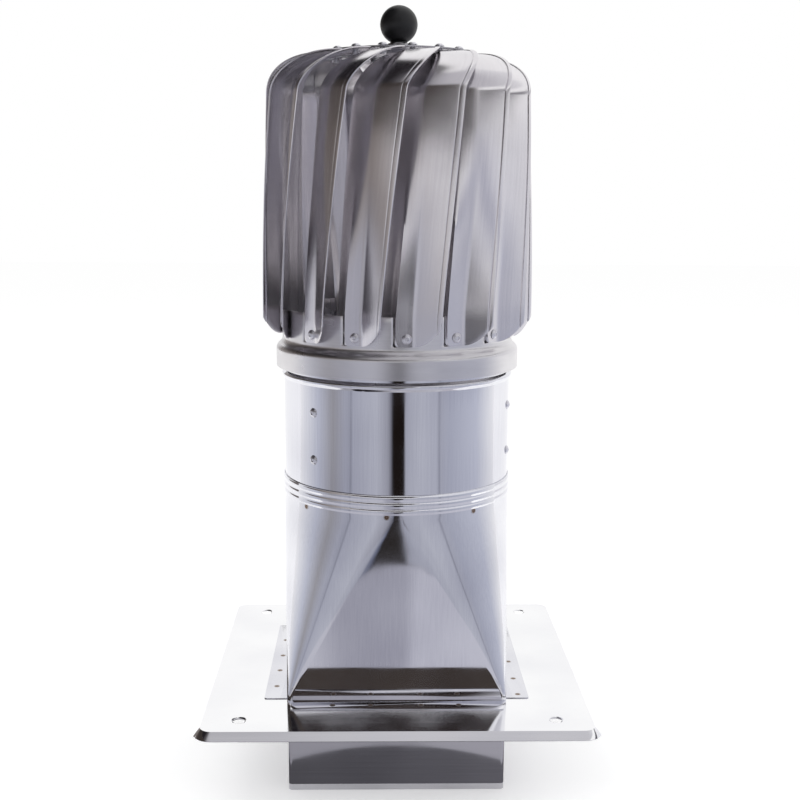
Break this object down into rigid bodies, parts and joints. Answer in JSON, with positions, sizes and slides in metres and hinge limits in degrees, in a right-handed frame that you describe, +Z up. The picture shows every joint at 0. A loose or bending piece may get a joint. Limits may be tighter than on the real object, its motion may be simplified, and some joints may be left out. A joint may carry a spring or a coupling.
{
  "type": "roof turbine ventilator",
  "caption": "Wind-driven chimney cowl: a rotor of twisted steel vanes turns on a shaft in a round neck, above a square-to-round hood, a drilled roof plate and a square flue spigot.",
  "frame": {"origin": "centre of the square spigot's lower rim, on the rotor's axis", "axes": "+Z up along the rotor's shaft; +X to the right and -Y to the front, square with the roof plate"},
  "size_m": [0.25, 0.24, 0.5003],
  "materials": {
    "plate_steel": "bright annealed stainless sheet",
    "hood_steel": "mirror-bright stainless sheet",
    "neck_steel": "mirror-bright stainless sheet",
    "spigot_steel": "bright stainless sheet",
    "vane_steel": "rolled satin stainless sheet",
    "ring_steel": "rolled satin stainless sheet",
    "top_plate_steel": "rolled satin stainless sheet",
    "rivet_steel": "dull stainless blind rivet",
    "bracket_steel": "pickled stainless sheet",
    "turned_steel": "turned steel",
    "bearing_steel": "ground and polished bearing steel",
    "spring_steel": "phosphated spring steel",
    "nut_steel": "cold-formed stainless",
    "knob_plastic": "satin moulded phenolic",
    "seal_rubber": "nitrile rubber"
  },
  "bodies": {
    "housing": {"base_plate": "plate_steel", "flue_spigot": "spigot_steel", "transition_hood": "hood_steel", "neck_tube": "neck_steel", "spider_leg_1": "bracket_steel", "spider_leg_2": "bracket_steel", "spider_leg_3": "bracket_steel", "spider_rivets": "rivet_steel", "bearing_housing": "turned_steel", "housing_circlips": "spring_steel", "bearing_cap": "bracket_steel", "lower_outer_race": "bearing_steel", "upper_outer_race": "bearing_steel", "bearing_shields": "bracket_steel"},
    "rotor": {"top_plate": "top_plate_steel", "top_rivets": "rivet_steel", "rotor_ring": "ring_steel", "ring_rivets": "rivet_steel", "shaft": "turned_steel", "shaft_circlips": "spring_steel", "inner_spacer": "turned_steel", "lower_inner_race": "bearing_steel", "upper_inner_race": "bearing_steel", "shaft_seal": "seal_rubber", "hub_washer": "turned_steel", "jam_nut": "nut_steel", "ball_knob": "knob_plastic", "vane_01": "vane_steel", "vane_02": "vane_steel", "vane_03": "vane_steel", "vane_04": "vane_steel", "vane_05": "vane_steel", "vane_06": "vane_steel", "vane_07": "vane_steel", "vane_08": "vane_steel", "vane_09": "vane_steel", "vane_10": "vane_steel", "vane_11": "vane_steel", "vane_12": "vane_steel", "vane_13": "vane_steel", "vane_14": "vane_steel", "vane_15": "vane_steel"},
    "lower_cage_set": {"lower_cage": "bracket_steel", "lower_balls": "bearing_steel"},
    "upper_cage_set": {"upper_cage": "bracket_steel", "upper_balls": "bearing_steel"}
  },
  "joints": [
    {"name": "rotor_spin", "type": "hinge", "parent": "housing", "child": "rotor", "pos_m": [0, 0, 0.249], "axis": [0, 0, 1], "continuous": true},
    {"name": "lower_cage_spin", "type": "hinge", "parent": "housing", "child": "lower_cage_set", "pos_m": [0, 0, 0.211], "axis": [0, 0, 1], "continuous": true},
    {"name": "upper_cage_spin", "type": "hinge", "parent": "housing", "child": "upper_cage_set", "pos_m": [0, 0, 0.249], "axis": [0, 0, 1], "continuous": true}
  ],
  "couplings": [
    {"joint": "lower_cage_spin", "follows": "rotor_spin", "ratio": 0.3677},
    {"joint": "upper_cage_spin", "follows": "rotor_spin", "ratio": 0.3677}
  ]
}
